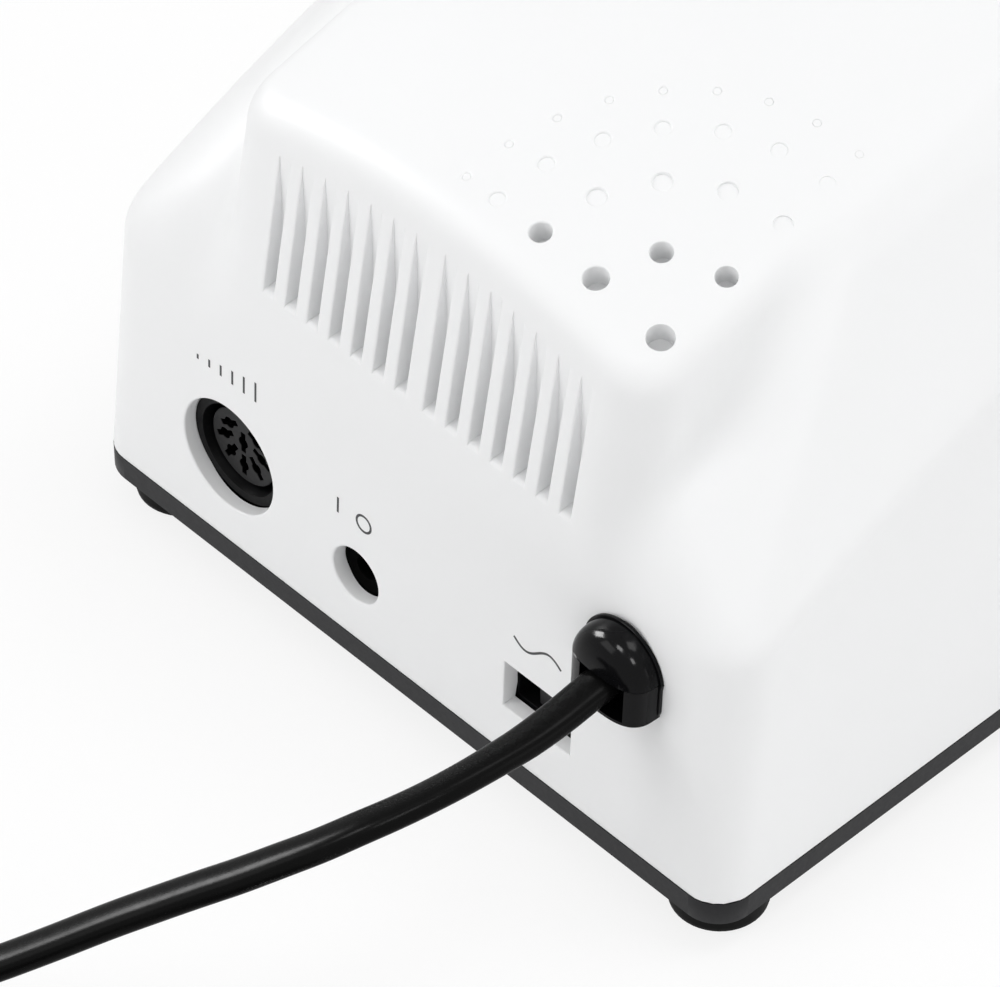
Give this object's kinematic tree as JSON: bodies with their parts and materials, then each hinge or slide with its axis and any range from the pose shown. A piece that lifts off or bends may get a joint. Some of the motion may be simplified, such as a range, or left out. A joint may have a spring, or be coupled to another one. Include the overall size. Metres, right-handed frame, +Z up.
{
  "type": "nail drill control box",
  "caption": "Wedge-shaped white control box for a nail drill: sloping panel with speed knob and rockers, vented bonnet, rear foot sockets, flat mains lead.",
  "frame": {"origin": "middle of the case's footprint, on the plane the feet stand on", "axes": "+X to the user's right, +Y from the user to the mains side, +Z up"},
  "size_m": [0.1291, 0.3203, 0.0995],
  "materials": {
    "shell_white": "satin white",
    "base_dark": "fine grain, dark grey",
    "rubber_black": "matt",
    "cord_black": "smooth, slightly glossy",
    "bushing_black": "moulded",
    "socket_black": "moulded",
    "insert_grey": "moulded",
    "contact_brass": "plain",
    "screw_steel": "zinc plated",
    "board_green": "solder mask",
    "core_steel": "varnished laminations",
    "winding_tape": "yellow tape",
    "part_black": "moulded",
    "cap_sleeve": "blue sleeve",
    "sink_aluminium": "extruded",
    "fuse_glass": "clear tube, plated ends",
    "block_green": "moulded",
    "pot_metal": "plated",
    "knob_black": "fluted, satin",
    "mark_grey": "printed",
    "rocker_red": "red",
    "rocker_black": "black",
    "button_grey": "light grey",
    "lamp_red": "clear red",
    "plug_metal": "nickel plated"
  },
  "bodies": {
    "case": {"upper_shell": "shell_white", "base_plate": "base_dark", "feet": "rubber_black", "case_screws": "screw_steel", "bushing_upper": "bushing_black", "bushing_lower": "bushing_black", "cord": "cord_black", "cord_coil": "cord_black", "cord_tail": "cord_black", "cord_tie": "bushing_black", "plug_body": "cord_black", "plug_pins": "plug_metal", "din_housing": "socket_black", "din_insert": "insert_grey", "din_contacts": "contact_brass", "jack_body": "socket_black", "jack_contact": "contact_brass", "selector_body": "socket_black", "socket_board": "board_green", "socket_screws": "screw_steel", "transformer_core": "core_steel", "transformer_winding": "winding_tape", "transformer_strap": "screw_steel", "strap_screws": "screw_steel", "main_board": "board_green", "board_screws": "screw_steel", "capacitor": "cap_sleeve", "rectifier": "part_black", "heat_sink": "sink_aluminium", "regulator": "part_black", "fuse_clips": "contact_brass", "fuse": "fuse_glass", "terminal_block": "block_green", "control_board": "board_green", "control_screws": "screw_steel", "pot_body": "pot_metal", "pot_nut": "plug_metal", "panel_marks": "mark_grey", "power_housing": "part_black", "direction_housing": "part_black", "button_switch": "part_black", "lamp": "lamp_red", "handpiece_socket": "socket_black", "handpiece_nut": "plug_metal", "handpiece_contacts": "contact_brass"},
    "knob": {"speed_knob": "knob_black", "pot_shaft": "pot_metal"},
    "power_key": {"power_rocker": "rocker_red"},
    "direction_key": {"direction_rocker": "rocker_black"},
    "button": {"mode_button": "button_grey"},
    "slider": {"selector_slider": "part_black"}
  },
  "joints": [
    {"name": "speed_turn", "type": "hinge", "parent": "case", "child": "knob", "pos_m": [0.014, -0.0308, 0.07188], "axis": [0, 0.6335, -0.7737], "range_deg": [0, 300]},
    {"name": "power_rock", "type": "hinge", "parent": "case", "child": "power_key", "pos_m": [-0.02, -0.05151, 0.05298], "axis": [1, 0, 0], "range_deg": [0, 16]},
    {"name": "direction_rock", "type": "hinge", "parent": "case", "child": "direction_key", "pos_m": [-0.02, -0.02366, 0.07578], "axis": [1, 0, 0], "range_deg": [0, 16]},
    {"name": "button_press", "type": "slide", "parent": "case", "child": "button", "axis": [0, 0.6335, -0.7737], "range_m": [0, 0.002], "stiffness_N_per_m": 300, "springref_m": -0.0005},
    {"name": "selector_slide", "type": "slide", "parent": "case", "child": "slider", "axis": [1, 0, 0], "range_m": [0, 0.0028]}
  ]
}
